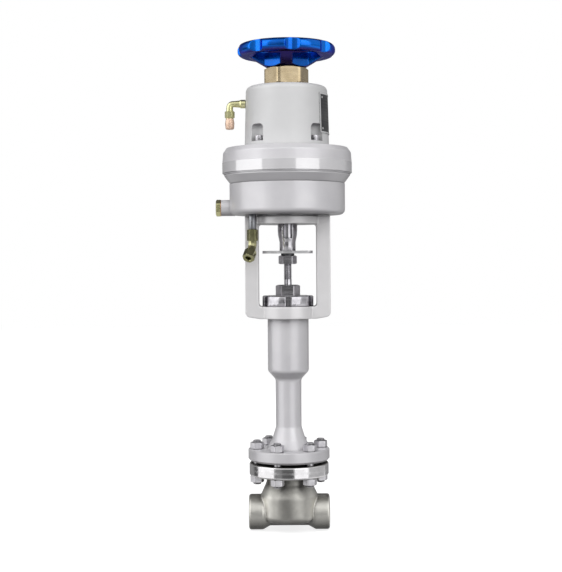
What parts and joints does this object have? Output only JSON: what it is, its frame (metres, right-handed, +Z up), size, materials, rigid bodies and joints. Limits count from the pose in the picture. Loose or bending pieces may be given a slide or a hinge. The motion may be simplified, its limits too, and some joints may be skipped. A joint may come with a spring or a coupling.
{
  "type": "emergency shutoff valve",
  "caption": "Pneumatic emergency shutoff globe valve with extended bonnet, yoke, piston actuator with spring return and manual hand wheel.",
  "frame": {"origin": "centre of the inlet socket's mouth, on the flow axis", "axes": "+X along the flow to the outlet, +Z up the stem axis towards the hand wheel"},
  "size_m": [0.2029, 0.193, 0.7222],
  "materials": {
    "cast_stainless": "bare cast stainless steel, bead blasted",
    "bright_steel": "turned and polished stainless steel",
    "spring_steel": "oil-tempered spring steel",
    "grey_paint": "light silver-grey satin paint",
    "blue_paint": "glossy metallic blue paint",
    "brass": "machined brass",
    "bronze": "plain bearing bronze",
    "copper": "soft copper",
    "sintered_bronze": "sintered porous bronze",
    "aluminium": "machined aluminium",
    "black_seal": "black rubber",
    "white_seal": "white fluoropolymer",
    "graphite": "graphite gasket"
  },
  "bodies": {
    "root": {"valve_body": "cast_stainless", "body_gasket": "graphite", "bonnet_studs": "bright_steel", "bonnet_nuts": "bright_steel", "body_flange_nuts": "bright_steel", "bonnet": "grey_paint", "stem_guide_bush": "bronze", "packing_washer": "bright_steel", "packing_rings": "white_seal", "gland_follower": "bright_steel", "gland_nut": "bright_steel", "yoke": "grey_paint", "yoke_nut": "bright_steel", "lower_cylinder": "grey_paint", "cover_seal": "black_seal", "yoke_screws": "bright_steel", "rod_bush": "bronze", "rod_seal": "black_seal", "cylinder_cover": "grey_paint", "spring_housing": "grey_paint", "housing_screws": "bright_steel", "top_rod_bush": "bronze", "thrust_washer": "bright_steel", "return_spring": "spring_steel", "spring_plate": "bright_steel", "breather_elbow": "brass", "breather_silencer": "sintered_bronze", "fusible_plug_washer": "copper", "fusible_plug": "brass", "air_inlet_nipple": "bright_steel", "air_inlet_elbow": "brass", "air_inlet_nut": "brass"},
    "stem_group": {"piston": "aluminium", "piston_seal": "black_seal", "piston_guide_ring": "white_seal", "piston_rod": "bright_steel", "piston_nut": "bright_steel", "travel_stop": "bright_steel", "coupling": "bright_steel", "coupling_pin": "bright_steel", "travel_plate": "aluminium", "lock_collar": "bright_steel", "stem_lock_nut": "bright_steel", "stem": "bright_steel", "disc": "cast_stainless", "disc_seal": "white_seal", "disc_nut": "bright_steel"},
    "handwheel_group": {"drive_nut": "brass", "handwheel": "blue_paint", "handwheel_washer": "bright_steel", "handwheel_nut": "bright_steel"}
  },
  "joints": [
    {"name": "handwheel_turn", "type": "hinge", "parent": "root", "child": "handwheel_group", "pos_m": [0.06, 0, 0.661], "axis": [0, 0, 1], "range_deg": [0, 900]},
    {"name": "stem_lift", "type": "slide", "parent": "root", "child": "stem_group", "axis": [0, 0, 1], "range_m": [0, 0.01], "deforming": ["return_spring"]}
  ],
  "couplings": [
    {"joint": "stem_lift", "follows": "handwheel_turn", "m_per_rad": 0.00063662}
  ]
}
